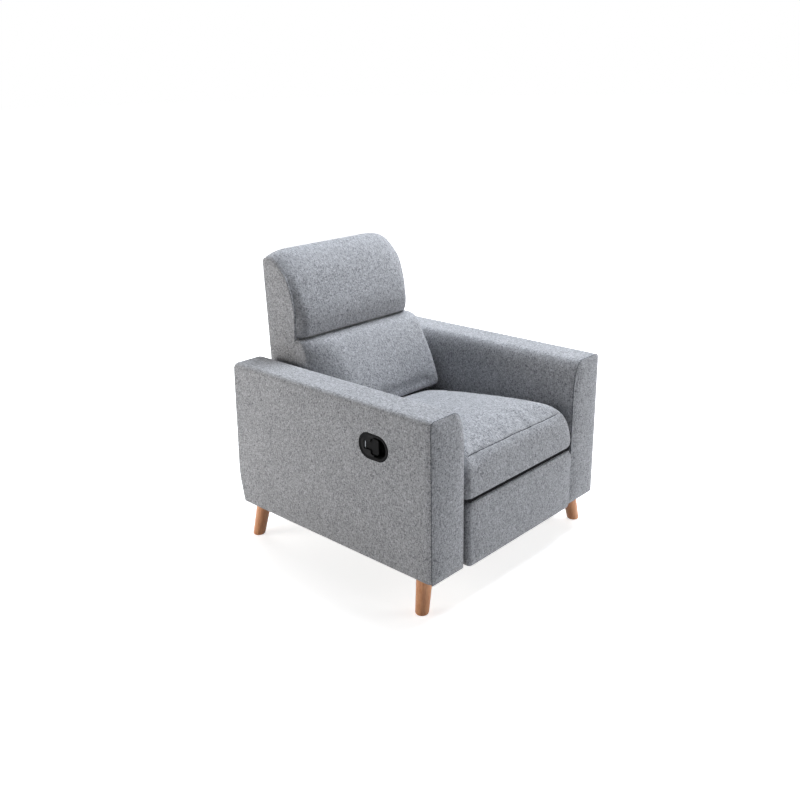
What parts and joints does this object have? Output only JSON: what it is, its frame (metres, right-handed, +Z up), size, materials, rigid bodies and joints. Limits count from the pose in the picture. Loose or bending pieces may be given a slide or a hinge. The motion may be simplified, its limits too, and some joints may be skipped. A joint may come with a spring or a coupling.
{
  "type": "recliner armchair",
  "caption": "Upholstered recliner armchair: block arms, reclining back with head cushion, fold-out footrest on steel links, oval side handle, splayed round wooden legs.",
  "frame": {"origin": "on the floor under the middle of the chair's box", "axes": "+Z up, the chair faces -Y, +X is the sitter's left"},
  "size_m": [0.8456, 0.8906, 0.9651],
  "materials": {
    "upholstery": "light grey heathered linen-look weave, matte",
    "foam": "cream open-cell foam",
    "leg_wood": "turned beech, satin lacquer",
    "frame_timber": "sawn softwood, bare",
    "black_steel": "black powder coat, satin",
    "spring_steel": "drawn wire, oiled",
    "black_plastic": "moulded black plastic, fine satin"
  },
  "bodies": {
    "base": {"arm_left_frame": "frame_timber", "arm_right_frame": "frame_timber", "arm_left_outer_pad": "upholstery", "arm_right_outer_pad": "upholstery", "arm_left_inner_pad": "upholstery", "arm_right_inner_pad": "upholstery", "arm_left_front_pad": "upholstery", "arm_right_front_pad": "upholstery", "arm_left_rear_pad": "upholstery", "arm_right_rear_pad": "upholstery", "arm_left_top_pad": "upholstery", "arm_right_top_pad": "upholstery", "leg_front_left": "leg_wood", "leg_front_right": "leg_wood", "leg_rear_left": "leg_wood", "leg_rear_right": "leg_wood", "base_front_rail": "frame_timber", "base_rear_rail": "frame_timber", "lower_back_panel": "upholstery", "glide_rail_left": "black_steel", "glide_rail_right": "black_steel", "handle_cup": "black_plastic", "paddle_pin": "spring_steel", "release_cable_arm": "black_plastic"},
    "seat_carriage": {"seat_side_plate_left": "black_steel", "seat_side_plate_right": "black_steel", "seat_front_board": "frame_timber", "seat_rear_board": "frame_timber", "seat_spring_left": "spring_steel", "seat_spring_middle": "spring_steel", "seat_spring_right": "spring_steel", "seat_cushion": "upholstery", "release_cable_seat": "black_plastic"},
    "back": {"back_bracket_left": "black_steel", "back_bracket_right": "black_steel", "back_post_left": "frame_timber", "back_post_right": "frame_timber", "back_side_left": "upholstery", "back_side_right": "upholstery", "back_outer_panel": "upholstery", "back_bottom_rail": "frame_timber", "back_top_rail": "frame_timber", "back_foam_core": "foam", "lumbar_cushion": "upholstery", "head_cushion": "upholstery"},
    "rear_links": {"footrest_rear_link_left": "black_steel", "footrest_rear_link_right": "black_steel", "footrest_torque_tube": "black_steel"},
    "control_links": {"footrest_control_link_left": "black_steel", "footrest_control_link_right": "black_steel"},
    "front_links": {"footrest_front_link_left": "black_steel", "footrest_front_link_right": "black_steel"},
    "tilt_links": {"footrest_tilt_link_left": "black_steel", "footrest_tilt_link_right": "black_steel"},
    "footrest": {"footrest_bracket_left": "black_steel", "footrest_bracket_right": "black_steel", "footrest_board": "frame_timber", "footrest_pad": "upholstery"},
    "release_handle": {"release_paddle": "black_plastic"},
    "latch": {"release_pawl": "black_steel"}
  },
  "joints": [
    {"name": "seat_glide", "type": "slide", "parent": "base", "child": "seat_carriage", "axis": [0, -1, 0], "range_m": [0, 0.06]},
    {"name": "back_recline", "type": "hinge", "parent": "seat_carriage", "child": "back", "pos_m": [0, 0.25075, 0.305], "axis": [-1, 0, 0], "range_deg": [0, 28]},
    {"name": "footrest_deploy", "type": "hinge", "parent": "seat_carriage", "child": "rear_links", "pos_m": [0, -0.23925, 0.282], "axis": [-1, 0, 0], "range_deg": [0, 134]},
    {"name": "control_link_turn", "type": "hinge", "parent": "seat_carriage", "child": "control_links", "pos_m": [0, -0.31615, 0.30405], "axis": [-1, 0, 0], "range_deg": [0, 134.5]},
    {"name": "front_link_turn", "type": "hinge", "parent": "rear_links", "child": "front_links", "pos_m": [0, -0.09417, 0.18414], "axis": [1, 0, 0], "range_deg": [0, 134.5]},
    {"name": "footrest_tilt", "type": "hinge", "parent": "front_links", "child": "footrest", "pos_m": [0, -0.34125, 0.255], "axis": [-1, 0, 0], "range_deg": [0, 95.5]},
    {"name": "tilt_link_turn", "type": "hinge", "parent": "control_links", "child": "tilt_links", "pos_m": [0, -0.1361, 0.17788], "axis": [1, 0, 0], "range_deg": [0, 135.67]},
    {"name": "paddle_pull", "type": "hinge", "parent": "base", "child": "release_handle", "pos_m": [-0.4163, -0.17625, 0.487], "axis": [0, 0, -1], "range_deg": [0, 28], "stiffness_Nm_per_rad": 0.3, "springref_deg": -14.32},
    {"name": "latch_turn", "type": "hinge", "parent": "seat_carriage", "child": "latch", "pos_m": [-0.2328, -0.16125, 0.262], "axis": [-1, 0, 0], "range_deg": [0, 25.5]}
  ],
  "couplings": [
    {"joint": "back_recline", "follows": "seat_glide", "rad_per_m": 8.1447},
    {"joint": "control_link_turn", "follows": "footrest_deploy", "ratio": 1},
    {"joint": "front_link_turn", "follows": "footrest_deploy", "ratio": 1},
    {"joint": "footrest_tilt", "follows": "footrest_deploy", "ratio": 0.70896},
    {"joint": "tilt_link_turn", "follows": "footrest_deploy", "ratio": 1.0088},
    {"joint": "latch_turn", "follows": "paddle_pull", "ratio": 0.89286}
  ]
}
